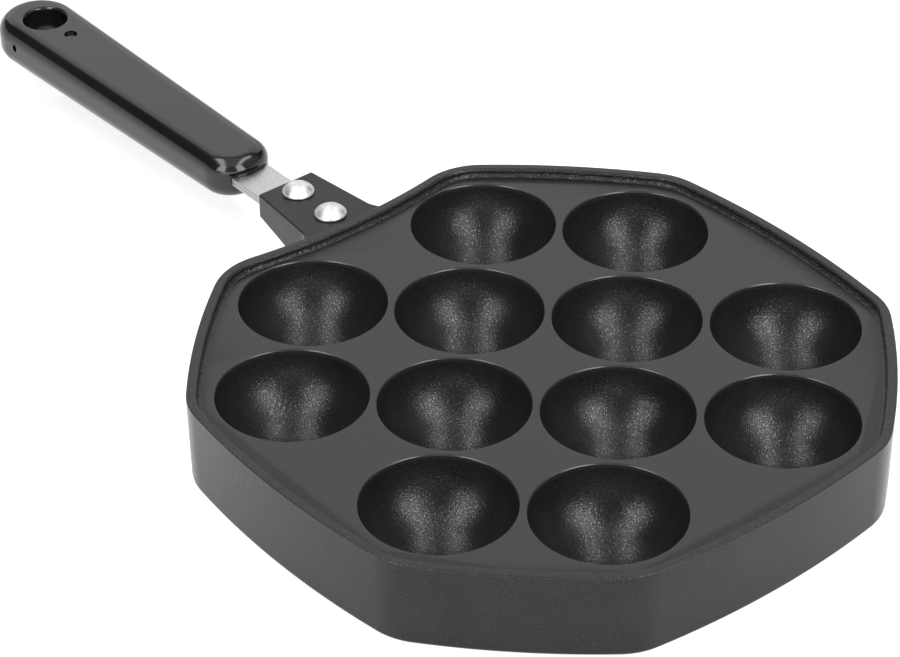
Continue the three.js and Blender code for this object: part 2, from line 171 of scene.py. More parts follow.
def quads_between(rings, count):
    """The faces between closed rings of so many points each, stored one after the other."""
    faces = []
    for low in range(0, (rings - 1) * count, count):
        for i in range(count):
            j = (i + 1) % count
            faces.append((low + i, low + j, low + count + j, low + count + i))
    return faces


def loft(name, loops):
    """A closed solid through loops with as many points each, from the lower to the upper cap."""
    count = len(loops[0])
    vertices = [v for loop in loops for v in loop]
    faces = quads_between(len(loops), count)
    faces.append(tuple(reversed(range(count))))
    faces.append(tuple(range((len(loops) - 1) * count, len(loops) * count)))
    return new_object(name, vertices, faces)


def revolved(name, profile, segments, place=(0, 0)):
    """A solid about an upright axis; the profile of (radius, height) climbs from axis to axis."""
    ring = full_turn(segments)
    inner = profile[1:-1]
    vertices = [
        (place[0] + r * math.cos(t), place[1] + r * math.sin(t), z) for r, z in inner for t in ring
    ]
    faces = quads_between(len(inner), segments)
    bottom, top = len(vertices), len(vertices) + 1
    vertices += [(*place, profile[0][1]), (*place, profile[-1][1])]
    last = (len(inner) - 1) * segments
    for i in range(segments):
        j = (i + 1) % segments
        faces.append((bottom, j, i))
        faces.append((top, last + i, last + j))
    return new_object(name, vertices, faces)


def block(name, low, high):
    """A box between two opposite corners."""
    ends = list(zip(low, high))
    corners = [(x, y, z) for z in ends[2] for y in ends[1] for x in ends[0]]
    faces = [(0, 2, 3, 1), (4, 5, 7, 6), (0, 1, 5, 4), (2, 6, 7, 3), (0, 4, 6, 2), (1, 3, 7, 5)]
    return new_object(name, corners, faces)


def oval_pin(name, start, half_width, half_height, length):
    """An oval rod along y."""
    ring = full_turn(32)
    x, y, z = start
    loops = [
        [(x + half_width * math.cos(t), y + reach, z - half_height * math.sin(t)) for t in ring]
        for reach in (0, length)
    ]
    return loft(name, loops)


def combine(made, others, operation):
    """Adds, cuts or keeps what is common, and drops the other objects."""
    for other in others:
        step = made.modifiers.new("step", "BOOLEAN")
        step.operation = operation
        step.solver = "MANIFOLD"
        step.object = other
        apply_modifiers(made)
        bpy.data.objects.remove(other)
    return made


def joined(name, objects):
    """One object that holds several bodies that don't touch."""
    mesh = bmesh.new()
    for part in objects:
        mesh.from_mesh(part.data)
        bpy.data.objects.remove(part)
    data = bpy.data.meshes.new(name)
    mesh.to_mesh(data)
    mesh.free()
    return in_scene(bpy.data.objects.new(name, data))


def apply_modifiers(made):
    bpy.context.view_layer.update()
    graph = bpy.context.evaluated_depsgraph_get()
    mesh = bpy.data.meshes.new_from_object(made.evaluated_get(graph))
    made.modifiers.clear()
    made.data = mesh


def smooth(made, degrees=32):
    """Smooth faces with hard edges where they meet at a wide angle; flat faces stay flat."""
    sharp = math.radians(degrees)
    mesh = bmesh.new()
    mesh.from_mesh(made.data)
    bmesh.ops.remove_doubles(mesh, verts=mesh.verts, dist=WELD)
    for face in mesh.faces:
        face.smooth = True
    for edge in mesh.edges:
        edge.smooth = len(edge.link_faces) == 2 and edge.calc_face_angle(0) < sharp
    mesh.to_mesh(made.data)
    mesh.free()
    weights = made.modifiers.new("flat_faces_first", "WEIGHTED_NORMAL")
    weights.keep_sharp = True
    weights.weight = 100
    apply_modifiers(made)


def mark(made, name, values):
    """Keeps a number per vertex for the finish."""
    made.data.attributes.new(name, "FLOAT", "POINT").data.foreach_set("value", values)


# --------------------------------------------------------------------------------------- pan
def side_circles():
    """The circle of each of the eight sides: centre, radius, and -1 where it bows inwards."""
    circles = []
    for side in range(8):
        along_rows = side % 2 == 1
        middle = LONG_SIDE if along_rows else CUT_SIDE
        bow = LONG_BOW if along_rows else CUT_BOW
        reach, radius, sign = middle - bow, bow, 1
        if side == 0:
            reach, radius, sign = CUT_SIDE - HANDLE_INSET + HANDLE_BOW, HANDLE_BOW, -1
        turn = side * math.pi / 4
        centre = Vector((reach * math.cos(turn) - OUTLINE_SHIFT, reach * math.sin(turn)))
        circles.append((centre, radius, sign))
    return circles


def corner_middle(circles, side):
    """The middle of the round between a side and the next."""
    first, radius_one, sign_one = circles[side]
    second, radius_two, sign_two = circles[(side + 1) % 8]
    a = radius_one - sign_one * CORNER_RADIUS
    b = radius_two - sign_two * CORNER_RADIUS
    between = second - first
    distance = between.length
    along = (a * a - b * b + distance**2) / (2 * distance)
    across = math.sqrt(a * a - along * along)
    foot = first + between * (along / distance)
    sideways = Vector((-between.y, between.x)) / distance
    turn = (side + 0.5) * math.pi / 4
    outwards = Vector((math.cos(turn), math.sin(turn)))
    return max((foot + sideways * across, foot - sideways * across), key=outwards.dot)


CIRCLES = side_circles()
CORNERS = [corner_middle(CIRCLES, i) for i in range(8)]


def pan_loop(inset, height):
    """The pan's outline at a height, drawn in by the inset."""

    def tangent(i, corner):
        centre, radius, sign = CIRCLES[i]
        return centre + (corner - centre).normalized() * (radius - sign * (inset + SKIN))

    loop = []
    for i in range(8):
        before, after = CORNERS[(i + 7) % 8], CORNERS[i]
        start, end, turned = tangent(i, before), tangent(i, after), tangent((i + 1) % 8, after)
        loop += arc_between(CIRCLES[i][0], start, end, steps=26)[:-1]
        loop += arc_between(after, end, turned, steps=14)[:-1]
    return [(x, y, height) for x, y in loop]


def pan_outside():
    """The full body up to the plate and the rim, from the skirt's foot to the plate's fillet."""
    foot, crest = BASE_ROUND - BASE_DEPTH, RIM_HEIGHT - RIM_EDGE
    inner, plate = RIM_WIDTH - RIM_ROUND, RIM_WIDTH + PLATE_FILLET
    profile = arc(SKIRT_DRAFT + BASE_ROUND, foot, BASE_ROUND, -QUARTER, -math.pi, steps=6)
    profile.append((CREST_BAND_INSET, crest - CREST_BAND))
    profile += arc(RIM_EDGE, crest, RIM_EDGE, math.pi, QUARTER, steps=5)
    profile += arc(inner, RIM_HEIGHT - RIM_ROUND, RIM_ROUND, QUARTER, 0, steps=7)
    profile += arc(plate, PLATE_FILLET, PLATE_FILLET, math.pi, 3 * QUARTER, steps=7)
    return loft("pan_fine", [pan_loop(*point) for point in profile])


def pan_underside():
    """The hollow under the plate, with a fillet round its ceiling."""
    wall = SKIRT_DRAFT + SKIRT_WALL
    middle = (wall + CEILING_FILLET, -PLATE_THICKNESS - CEILING_FILLET)
    profile = [(wall, -BASE_DEPTH - PAST)]
    profile += arc(*middle, CEILING_FILLET, math.pi, QUARTER, steps=6)
    return loft("underside", [pan_loop(*point) for point in profile])


def cup(place):
    """The outside of a well under the plate."""
    radius = WELL_RADIUS + CUP_WALL
    top = -PLATE_THICKNESS / 2
    highest = math.asin((top - WELL_HEIGHT) / radius)
    profile = [*arc(0, WELL_HEIGHT, radius, -QUARTER, highest, steps=16), (0, top)]
    return revolved("cup", profile, segments=72, place=place)


def well(place):
    """The inside of a well with its rounded mouth."""
    lean = math.atan2(-MOUTH_ROUND - WELL_HEIGHT, MOUTH_RADIUS)
    bowl = arc(0, WELL_HEIGHT, WELL_RADIUS, -QUARTER, lean, steps=40)
    mouth = arc(MOUTH_RADIUS, -MOUTH_ROUND, MOUTH_ROUND, lean + math.pi, QUARTER, steps=7)
    profile = [*bowl, *mouth[1:], (MOUTH_RADIUS, PAST), (0, PAST)]
    return revolved("well", profile, segments=128, place=place)


def lug():
    """The flared lug with its sloping lower side, the tang's channel and the rivet holes."""
    lean = math.atan(LUG_FLARE)
    half = LUG_END_WIDTH / 2
    start = HANDLE_SIDE + LUG_ROOT_FILLET * (1 - math.sin(lean))
    middle = half + LUG_FLARE * (LUG_END - start) + LUG_ROOT_FILLET * math.cos(lean)
    root = HANDLE_SIDE - SKIRT_WALL / 2
    flare_x = HANDLE_SIDE + LUG_ROOT_FILLET
    corner_x, corner_y = LUG_END - LUG_END_CORNER, half - LUG_END_CORNER

    def plan(inset, height):
        fillet, corner = LUG_ROOT_FILLET + inset, LUG_END_CORNER - inset
        points = arc(flare_x, -middle, fillet, math.pi, QUARTER + lean, steps=12)
        points += arc(corner_x, -corner_y, corner, lean - QUARTER, 0, steps=8)
        points += arc(corner_x, corner_y, corner, 0, QUARTER - lean, steps=8)
        points += arc(flare_x, middle, fillet, -QUARTER - lean, -math.pi, steps=12)
        points = [(root, -middle), *points, (root, middle)]
        return [(x, y, height) for x, y in points]

    edge = arc(LUG_TOP_EDGE, LUG_TOP - LUG_TOP_EDGE, LUG_TOP_EDGE, math.pi, QUARTER, steps=5)
    loops = [plan(0, -LUG_ROOT_THICKNESS - PAST)]
    loops += [plan(inset, height) for inset, height in edge]
    tongue = loft("tongue", loops)
    slope = (LUG_ROOT_THICKNESS - LUG_END_THICKNESS) / (LUG_END - HANDLE_SIDE)
    near, far, wide = root - PAST, LUG_END + PAST, middle + PAST
    low = [
        (x, y, LUG_TOP - LUG_END_THICKNESS - slope * (LUG_END - x))
        for x, y in ((near, -wide), (far, -wide), (far, wide), (near, wide))
    ]
    wedge = loft("wedge", [low, [(x, y, PAST) for x, y, _ in low]])
    tongue = combine(tongue, [wedge], "INTERSECT")
    half_channel = TANG_WIDTH / 2 + FIT
    channel = block(
        "channel",
        (HANDLE_SIDE + SKIRT_DRAFT, -half_channel, -LUG_ROOT_THICKNESS - PAST),
        (LUG_END + PAST, half_channel, LUG_TOP - LUG_ROOF),
    )
    bottom, top = TANG_TOP - PAST, LUG_TOP + PAST
    hole = [(0, bottom), (RIVET_HOLE_RADIUS, bottom), (RIVET_HOLE_RADIUS, top), (0, top)]
    holes = [revolved("rivet_hole", hole, segments=48, place=(x, 0)) for x in RIVET_PLACES.values()]
    return combine(tongue, [channel, *holes], "DIFFERENCE")


def pan():
    casting = combine(pan_outside(), [pan_underside()], "DIFFERENCE")
    combine(casting, [cup(place) for place in WELLS], "UNION")
    combine(casting, [joined("wells", [well(place) for place in WELLS])], "DIFFERENCE")
    combine(casting, [lug()], "UNION")
    smooth(casting)
    mark_finish_places(casting)
    return casting


def inset_of(x, y):
    """How far a point lies inside the nearest side of the outline."""
    return min(sign * (radius - math.dist((x, y), centre)) for centre, radius, sign in CIRCLES)


def place_of(x, y, z):
    """Which finish of its own a vertex of the casting has, if any."""
    near = min(math.hypot(x - a, y - b) for a, b in WELLS)
    crest = RIM_HEIGHT - RIM_ROUND / 2
    on_mouth = MOUTH_RADIUS - MOUTH_ROUND - SLACK < near < MOUTH_RADIUS + SLACK
    if on_mouth and -MOUTH_ROUND - SLACK < z < SLACK:
        return "mouth_edge"
    if z < -MOUTH_ROUND and math.hypot(near, z - WELL_HEIGHT) < WELL_RADIUS + SLACK:
        return "well_inside"
    if SLACK < z < crest and inset_of(x, y) > RIM_WIDTH - RIM_ROUND:
        return "rim_foot"
    if z > crest:
        return "rim_crest"
    return None


def mark_finish_places(casting):
    """Marks the smooth mouths, the sparkling wells, the rim's pitted foot and its crest, which gets a
    painted highlight.
    """
    places = [place_of(*(c / MM for c in vertex.co)) for vertex in casting.data.vertices]
    for name in ("mouth_edge", "well_inside", "rim_foot", "rim_crest"):
        mark(casting, name, [float(place == name) for place in places])


# ---------------------------------------------------------------------- rivets, tang and grip
def dome(diameter, edge, rise, steps):
    """Half of a domed head over its seat, from its outer edge to the axis."""
    half = diameter / 2
    radius = (half * half + rise * rise) / (2 * rise)
    lean = math.asin((radius - rise) / radius)
    crown = arc(0, edge + rise - radius, radius, lean, QUARTER, steps)
    return [(half - RIVET_EASE, 0), (half, RIVET_EASE), *crown[:-1], (0, edge + rise)]


def rivet(name):
    seat = LUG_TOP + FIT
    tail_seat = TANG_TOP - TANG_THICKNESS - FIT
    head = [(r, seat + z) for r, z in dome(**RIVET_HEAD, steps=16)]
    tail = [(r, tail_seat - z) for r, z in dome(**RIVET_TAIL, steps=10)]
    shank = [(RIVET_SHANK_RADIUS, tail_seat), (RIVET_SHANK_RADIUS, seat)]
    profile = [*reversed(tail), *shank, *head]
    made = revolved(name + "_fine", profile, segments=72, place=(RIVET_PLACES[name], 0))
    smooth(made, degrees=40)
    return made


def tang():
    """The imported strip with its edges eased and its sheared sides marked."""
    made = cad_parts["tang"].copy()
    made.data = made.data.copy()
    made.name = "tang_eased"
    made.parent = None
    for key in list(made.keys()):
        del made[key]
    in_scene(made)
    mesh = bmesh.new()
    mesh.from_mesh(made.data)
    bmesh.ops.remove_doubles(mesh, verts=mesh.verts, dist=WELD)
    flat = math.radians(1)
    bmesh.ops.dissolve_limit(mesh, angle_limit=flat, verts=mesh.verts, edges=mesh.edges)
    mesh.to_mesh(made.data)
    mesh.free()
    ease = made.modifiers.new("eased_edges", "BEVEL")
    ease.width = TANG_EDGE * MM
    ease.segments = 3
    ease.limit_method = "ANGLE"
    ease.angle_limit = math.radians(50)
    apply_modifiers(made)
    smooth(made, degrees=40)
    cut = (TANG_WIDTH / 2 - SLACK) * MM
    mark(made, "cut_side", [float(abs(vertex.co.y) > cut) for vertex in made.data.vertices])
    return made


def grip_outline(inset):
    """The grip from above, drawn in by the inset: rear round, left side and front, right side."""
    rear_radius = GRIP_REAR_WIDTH / 2
    rear = (GRIP_FRONT + GRIP_LENGTH - rear_radius, 0)
    front = (GRIP_FRONT + GRIP_FRONT_CORNER, GRIP_FRONT_WIDTH / 2 - GRIP_FRONT_CORNER)
    tilt = math.atan2(front[1], rear[0] - front[0])
    lean = math.asin((rear_radius - GRIP_FRONT_CORNER) / math.dist(rear, front)) - tilt
    side = QUARTER + lean
    loop = arc(*rear, rear_radius - inset, -side, side, steps=56)
    corner = arc(*front, GRIP_FRONT_CORNER - inset, side, math.pi, steps=26)
    steps = 24
    left = [
        tuple(a + (b - a) * i / steps for a, b in zip(loop[-1], corner[0])) for i in range(1, steps)
    ]
    left += corner
    return loop + left + [(x, -y) for x, y in reversed(left)]


def grip_loop(inset, drop):
    """The outline at a depth below the top; the depth shrinks towards the thinner front."""
    loop = []
    for x, y in grip_outline(inset):
        share = (GRIP_FRONT + GRIP_LENGTH - x) / GRIP_LENGTH
        height = GRIP_REAR_HEIGHT + (GRIP_FRONT_HEIGHT - GRIP_REAR_HEIGHT) * share
        loop.append((x, y, GRIP_TOP - drop * height / GRIP_REAR_HEIGHT))
    return loop


def hanging_hole(top, bottom):
    wide = HANG_HOLE_RADIUS + HANG_HOLE_ROUND
    lower, upper = bottom + HANG_HOLE_ROUND, top - HANG_HOLE_ROUND
    profile = [(0, bottom - PAST), (wide, bottom - PAST)]
    profile += arc(wide, lower, HANG_HOLE_ROUND, -QUARTER, -math.pi, steps=8)
    profile += arc(wide, upper, HANG_HOLE_ROUND, math.pi, QUARTER, steps=8)
    profile += [(wide, top + PAST), (0, top + PAST)]
    return revolved("hole", profile, segments=96, place=(HANG_HOLE_X, 0))


def moulding_mark(top):
    """A shallow round dimple whose wall leans out a little."""
    profile = [
        (0, top - MARK_DEPTH),
        (MARK_RADIUS - 2 * MARK_LEAN, top - MARK_DEPTH),
        (MARK_RADIUS - MARK_LEAN, top - MARK_LEAN / 2),
        (MARK_RADIUS, top),
        (MARK_RADIUS, top + PAST),
        (0, top + PAST),
    ]
    return revolved("mark", profile, segments=48, place=MARK_PLACE)


def grip():
    """The moulding with the tang's socket, the hanging hole, the mark and the vent hole."""
    lower = GRIP_REAR_HEIGHT - GRIP_BOTTOM_ROUND
    profile = arc(GRIP_BOTTOM_ROUND, lower, GRIP_BOTTOM_ROUND, QUARTER, math.pi, steps=14)
    profile += arc(GRIP_TOP_ROUND, GRIP_TOP_ROUND, GRIP_TOP_ROUND, math.pi, 3 * QUARTER, steps=14)
    body = loft("grip_fine", [grip_loop(*point) for point in profile])
    half = TANG_WIDTH / 2 + FIT
    socket = block(
        "socket",
        (GRIP_FRONT - PAST, -half, TANG_TOP - TANG_THICKNESS - FIT),
        (TANG_END + FIT, half, TANG_TOP + FIT),
    )
    vent_start = (VENT_X, GRIP_REAR_WIDTH / 2 - VENT_DEPTH, VENT_Z)
    cuts = [
        socket,
        hanging_hole(GRIP_TOP, GRIP_TOP - GRIP_REAR_HEIGHT),
        moulding_mark(GRIP_TOP),
        oval_pin("vent", vent_start, VENT_HALF_WIDTH, VENT_HALF_HEIGHT, VENT_DEPTH + PAST),
    ]
    combine(body, cuts, "DIFFERENCE")
    smooth(body)
    return body


# ------------------------------------------------------------------------------ node helpers
def connect(tree, value, socket):
    """Feeds a socket from another one or with a constant."""
    if isinstance(value, bpy.types.NodeSocket):
        tree.links.new(value, socket)
    else:
        socket.default_value = value


def maths(tree, operation, *values):
    """A sum or the like; each value may be a socket or a constant."""
    node = tree.nodes.new("ShaderNodeMath")
    node.operation = operation
    for value, socket in zip(values, node.inputs):
        connect(tree, value, socket)
    return node.outputs["Value"]


def vector_maths(tree, operation, a, b):
    """The same for two vector sockets."""
    node = tree.nodes.new("ShaderNodeVectorMath")
    node.operation = operation
    tree.links.new(a, node.inputs[0])
    tree.links.new(b, node.inputs[1])
    return node.outputs


def blend(tree, kind, factor, a, b):
    """A mix of two values or colours; each may be a socket or a constant."""
    node = tree.nodes.new("ShaderNodeMix")
    node.data_type = kind
    sockets = {socket.name: socket for socket in node.inputs if socket.enabled}
    for name, value in (("Factor", factor), ("A", a), ("B", b)):
        connect(tree, value, sockets[name])
    return next(socket for socket in node.outputs if socket.enabled)


def mapped(tree, value, least, most):
    """A value mapped from its range, whose ends may be sockets or constants, to 0 up to 1."""
    node = tree.nodes.new("ShaderNodeMapRange")
    connect(tree, value, node.inputs["Value"])
    connect(tree, least, node.inputs["From Min"])
    connect(tree, most, node.inputs["From Max"])
    return node


def bump(tree, height, strength, depth):
    """A relief; a height of 1 stands for the depth in metres."""
    node = tree.nodes.new("ShaderNodeBump")
    node.inputs["Strength"].default_value = strength
    node.inputs["Distance"].default_value = depth
    tree.links.new(height, node.inputs["Height"])
    return node


def mask_of(tree, name):
    """A number kept per vertex."""
    node = tree.nodes.new("ShaderNodeAttribute")
    node.attribute_name = name
    return node.outputs["Fac"]


def source_of(node, name):
    """The socket that feeds an input."""
    return node.inputs[name].links[0].from_socket


def group_of(name, inputs, outputs):
    """An empty effect with its named inputs and outputs; returns it with its two end nodes."""
    group = bpy.data.node_groups.new(name, "ShaderNodeTree")
    kinds = {"value": "NodeSocketFloat", "colour": "NodeSocketColor", "vector": "NodeSocketVector"}
    for socket, kind in inputs.items():
        group.interface.new_socket(name=socket, in_out="INPUT", socket_type=kinds[kind])
    for socket, kind in outputs.items():
        group.interface.new_socket(name=socket, in_out="OUTPUT", socket_type=kinds[kind])
    return group, group.nodes.new("NodeGroupInput"), group.nodes.new("NodeGroupOutput")


def effect(tree, group, **values):
    """An effect at work in a tree, with its inputs set."""
    node = tree.nodes.new("ShaderNodeGroup")
    node.node_tree = group
    for name, value in values.items():
        node.inputs[name.replace("_", " ").title()].default_value = value
    return node


def noise_at(group, scale, detail, squeeze=None):
    """Noise in the part's own space; a squeeze below 1 draws it out that way."""
    place = group.nodes.new("ShaderNodeTexCoord").outputs["Object"]
    if squeeze is not None:
        place = vector_maths(group, "MULTIPLY", place, squeeze)["Vector"]
    noise = group.nodes.new("ShaderNodeTexNoise")
    noise.inputs["Detail"].default_value = detail
    group.links.new(place, noise.inputs["Vector"])
    group.links.new(scale, noise.inputs["Scale"])
    return noise.outputs["Fac"]


# ----------------------------------------------------------------------------------- effects
def grain_group():
    """The height of a grained surface: coarse and fine grain mixed."""
    group, given, result = group_of(
        "surface_grain",
        {
            "Coarse Scale": "value",
            "Fine Scale": "value",
            "Fine Share": "value",
            "Squeeze": "vector",
        },
        {"Height": "value"},
    )
    squeeze = given.outputs["Squeeze"]
    coarse = noise_at(group, given.outputs["Coarse Scale"], 1.0, squeeze)
    fine = noise_at(group, given.outputs["Fine Scale"], 0.0, squeeze)
    mixed = blend(group, "FLOAT", given.outputs["Fine Share"], coarse, fine)
    group.links.new(mixed, result.inputs["Height"])
    return group


def drift_group():
    """Two tones that run into each other in soft patches, and a roughness that drifts with them."""
    group, given, result = group_of(
        "drifting_tone",
        {
            "Tone A": "colour",
            "Tone B": "colour",
            "Patch Scale": "value",
            "Smoothest": "value",
            "Roughest": "value",
        },
        {"Tone": "colour", "Roughness": "value"},
    )
    patches = noise_at(group, given.outputs["Patch Scale"], 4.0)
    share = mapped(group, patches, 0.3, 0.7).outputs["Result"]
    tone = blend(group, "RGBA", share, given.outputs["Tone A"], given.outputs["Tone B"])
    rough = blend(group, "FLOAT", share, given.outputs["Smoothest"], given.outputs["Roughest"])
    group.links.new(tone, result.inputs["Tone"])
    group.links.new(rough, result.inputs["Roughness"])
    return group


def fleck_group():
    """Where tiny bright flecks lie: the peaks of a fine noise, from Least to Most."""
    group, given, result = group_of(
        "bright_flecks", {"Scale": "value", "Least": "value", "Most": "value"}, {"Mask": "value"}
    )
    fine = noise_at(group, given.outputs["Scale"], 0.0)
    peaks = mapped(group, fine, given.outputs["Least"], given.outputs["Most"])
    group.links.new(peaks.outputs["Result"], result.inputs["Mask"])
    return group


GRAIN = grain_group()
DRIFT = drift_group()
FLECKS = fleck_group()


# --------------------------------------------------------------------------------- materials
def grey(value):
    return (value, value, value, 1)


def drifting(low, high, patch_scale, smoothest, roughest):
    """Settings of the drifting tone, from two greys, the patches and the range of roughness."""
    return {
        "tone_a": grey(low),
        "tone_b": grey(high),
        "patch_scale": patch_scale,
        "smoothest": smoothest,
        "roughest": roughest,
    }


def grained(coarse_scale, fine_scale, fine_share, squeeze=(1, 1, 1)):
    """Settings of the surface grain."""
    return {
        "coarse_scale": coarse_scale,
        "fine_scale": fine_scale,
        "fine_share": fine_share,
        "squeeze": squeeze,
    }


def finish(name, metallic, ior, drift, grain, strength, depth):
    """A surface with drifting tone and roughness and a grained relief of a depth in metres."""
    material = bpy.data.materials.new(name)
    material.use_nodes = True
    tree = material.node_tree
    shader = tree.nodes["Principled BSDF"]
    shader.inputs["Metallic"].default_value = metallic
    shader.inputs["IOR"].default_value = ior
    tone = effect(tree, DRIFT, **drift)
    tree.links.new(tone.outputs["Tone"], shader.inputs["Base Color"])
    tree.links.new(tone.outputs["Roughness"], shader.inputs["Roughness"])
    relief = bump(tree, effect(tree, GRAIN, **grain).outputs["Height"], strength, depth)
    tree.links.new(relief.outputs["Normal"], shader.inputs["Normal"])
    return material


LEVEL = 0.5  # the mean height of a grain
MOUTH_ROUGHNESS = 0.17
MOUTH_FLECKS = 0.85  # an even share of bright metal on the mouths' rounds
PLATE_FLECKS = 0.3  # how much of the wells' flecks shows on the plate and the skirt
# the rim's crest is painted this lighter grey: a painted highlight along the rim's top
CREST_HIGHLIGHT_GREY = 0.014
FLECK_GREY = 0.06


def coating():
    """Black non-stick coat: it sparkles, with smooth mouths and a pitted foot of the rim."""
    material = finish(
        "non_stick_coat",
        metallic=0.0,
        ior=1.33,
        drift=drifting(0.007, 0.011, patch_scale=70.0, smoothest=0.2, roughest=0.25),
        grain=grained(1300.0, 2900.0, fine_share=0.8),
        strength=1.0,
        depth=0.00008,
    )
    tree = material.node_tree
    shader = tree.nodes["Principled BSDF"]
    edge, inside = mask_of(tree, "mouth_edge"), mask_of(tree, "well_inside")
    crest, foot = mask_of(tree, "rim_crest"), mask_of(tree, "rim_foot")
    rough = blend(tree, "FLOAT", edge, source_of(shader, "Roughness"), MOUTH_ROUGHNESS)
    tree.links.new(rough, shader.inputs["Roughness"])

    flecks = effect(tree, FLECKS, scale=2500.0, least=0.56, most=0.68).outputs["Mask"]
    share = blend(tree, "FLOAT", flecks, 0.0, PLATE_FLECKS)
    share = blend(tree, "FLOAT", inside, share, flecks)
    share = blend(tree, "FLOAT", edge, share, MOUTH_FLECKS)
    share = blend(tree, "FLOAT", crest, share, flecks)
    share = blend(tree, "FLOAT", foot, share, flecks)
    # painted highlight: the crest gets a lighter grey than the rest of the coat
    tone = blend(tree, "RGBA", crest, source_of(shader, "Base Color"), grey(CREST_HIGHLIGHT_GREY))
    tone = blend(tree, "RGBA", share, tone, grey(FLECK_GREY))
    tree.links.new(tone, shader.inputs["Base Color"])
    tree.links.new(share, shader.inputs["Metallic"])

    # no grain on the mouths' rounds, and pits under the grain in the rim's foot
    relief = shader.inputs["Normal"].links[0].from_node
    height = blend(tree, "FLOAT", edge, source_of(relief, "Height"), LEVEL)
    tree.links.new(height, relief.inputs["Height"])
    pits = effect(tree, GRAIN, **grained(420.0, 1300.0, fine_share=0.35)).outputs["Height"]
    pitted = bump(tree, blend(tree, "FLOAT", foot, LEVEL, pits), strength=1.0, depth=0.0004)
    tree.links.new(pitted.outputs["Normal"], relief.inputs["Normal"])
    return material


def strip_steel():
    """Satin steel, brushed along the strip; its sheared sides are duller, with bands along them."""
    material = finish(
        "satin_steel",
        metallic=1.0,
        ior=1.5,
        drift=drifting(0.46, 0.56, patch_scale=700.0, smoothest=0.26, roughest=0.38),
        grain=grained(500.0, 1600.0, fine_share=0.5, squeeze=(0.06, 1, 1)),
        strength=1.0,
        depth=0.00004,
    )
    tree = material.node_tree
    shader = tree.nodes["Principled BSDF"]
    bands = effect(tree, GRAIN, **grained(800.0, 2600.0, fine_share=0.3, squeeze=(0.03, 0.03, 1)))
    sheared = blend(tree, "RGBA", bands.outputs["Height"], grey(0.04), grey(0.6))
    tone = source_of(shader, "Base Color")
    mixed = blend(tree, "RGBA", mask_of(tree, "cut_side"), tone, sheared)
    tree.links.new(mixed, shader.inputs["Base Color"])
    return material


def floor_material():
    """A dull pale floor that glows a little, so that it comes out white."""
    material = bpy.data.materials.new("studio_floor")
    material.use_nodes = True
    shader = material.node_tree.nodes["Principled BSDF"]
    shader.inputs["Base Color"].default_value = grey(0.5)
    shader.inputs["Roughness"].default_value = 1.0
    shader.inputs["Specular IOR Level"].default_value = 0.0
    shader.inputs["Emission Color"].default_value = grey(1)
    shader.inputs["Emission Strength"].default_value = 0.71
    return material


# ------------------------------------------------------------------------------------ pieces
def dress(piece, node, material):
    piece.data.materials.clear()
    piece.data.materials.append(material)
    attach(piece, "root")
    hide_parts(node)


coat = coating()
steel = strip_steel()
bright = finish(
    "bright_aluminium",
    metallic=1.0,
    ior=1.5,
    drift=drifting(0.6, 0.78, patch_scale=600.0, smoothest=0.38, roughest=0.48),
    grain=grained(500.0, 1500.0, fine_share=0.4),
    strength=0.8,
    depth=0.00005,
)
moulding = finish(
    "phenolic_moulding",
    metallic=0.0,
    ior=1.54,
    drift=drifting(0.003, 0.005, patch_scale=40.0, smoothest=0.1, roughest=0.15),
    grain=grained(120.0, 900.0, fine_share=0.2),
    strength=0.12,
    depth=0.00004,
)

dress(pan(), "pan_body", coat)
dress(tang(), "tang", steel)
for rivet_name in RIVET_PLACES:
    dress(rivet(rivet_name), rivet_name, bright)
dress(grip(), "grip", moulding)

# -------------------------------------------------------------------------- floor and camera
FLOOR_REACH = 20000.0
FLOOR_HEIGHT = -BASE_DEPTH - 0.02
CAMERA_PLACE = Vector((-552.138, 482.290, 525.568))
VIEW_RIGHT = Vector((-0.636142, -0.771547, -0.006251))
VIEW_UP = Vector((0.440639, -0.369935, 0.817915))
VIEW_FORWARD = Vector((0.633373, -0.517556, -0.575304))
FOCAL_PIXELS = 3443.51
PICTURE_PIXELS = 900
SENSOR = 36.0
AWAY = Vector((VIEW_FORWARD.x, VIEW_FORWARD.y, 0)).normalized()
SIDE = Vector((AWAY.y, -AWAY.x, 0))


def posed(place, across, along, back):
    """The matrix of an object at a place in millimetres, from its three axes."""
    return Matrix.Translation(place * MM) @ Matrix(
        [(*axes, 0) for axes in zip(across, along, back)] + [(0, 0, 0, 1)]
    )


floor_corners = [
    (across * FLOOR_REACH, along * FLOOR_REACH, FLOOR_HEIGHT)
    for across, along in ((-1, -1), (1, -1), (1, 1), (-1, 1))
]
floor = new_object("floor", floor_corners, [(0, 1, 2, 3)])
floor.data.materials.append(floor_material())

lens = bpy.data.cameras.new("camera")
lens.sensor_width = SENSOR
lens.lens = FOCAL_PIXELS / PICTURE_PIXELS * SENSOR
lens.clip_start = 0.01
lens.clip_end = 100
camera = in_scene(bpy.data.objects.new("camera", lens))
camera.matrix_world = posed(CAMERA_PLACE, VIEW_RIGHT, VIEW_UP, -VIEW_FORWARD)
bpy.context.scene.camera = camera

# ------------------------------------------------------------------------------------- light
ARCH_FRONT = 290
ARCH_FOOT = 130
ARCH_HEIGHT = 800
STRIP_FRONT = 220
STRIP_LENGTH = 660
# for each arch: how far to the camera's right, width and brightness of its upright and its strip
ARCHES = {
    "left": ((-312, 245, 5.2), (-365, 240, 4.1)),
    "right": ((256, 255, 5.8), (285, 200, 3.9)),
}
# azimuth, elevation, half width and half height in degrees, edge, brightness
SOFTBOXES = [
    (180, 33, 36, 19, 0.05, 1.12),
    (0, 90, 30, 30, 0.3, 0.85),
    (3, 42, 22, 30, 0.2, 0.3),
    (88, 40, 20, 30, 0.2, 0.45),
    (-90, 2, 60, 13, 0.1, 1.0),
    (90, 2, 60, 13, 0.1, 1.0),
    (180, 2, 30, 13, 0.1, 0.6),
    (0, 2, 30, 13, 0.1, 2.8),
]
GLOOM = 0.1
LEAST_DEPTH = 0.0001  # stands in for the depth of a direction that points away from a soft box


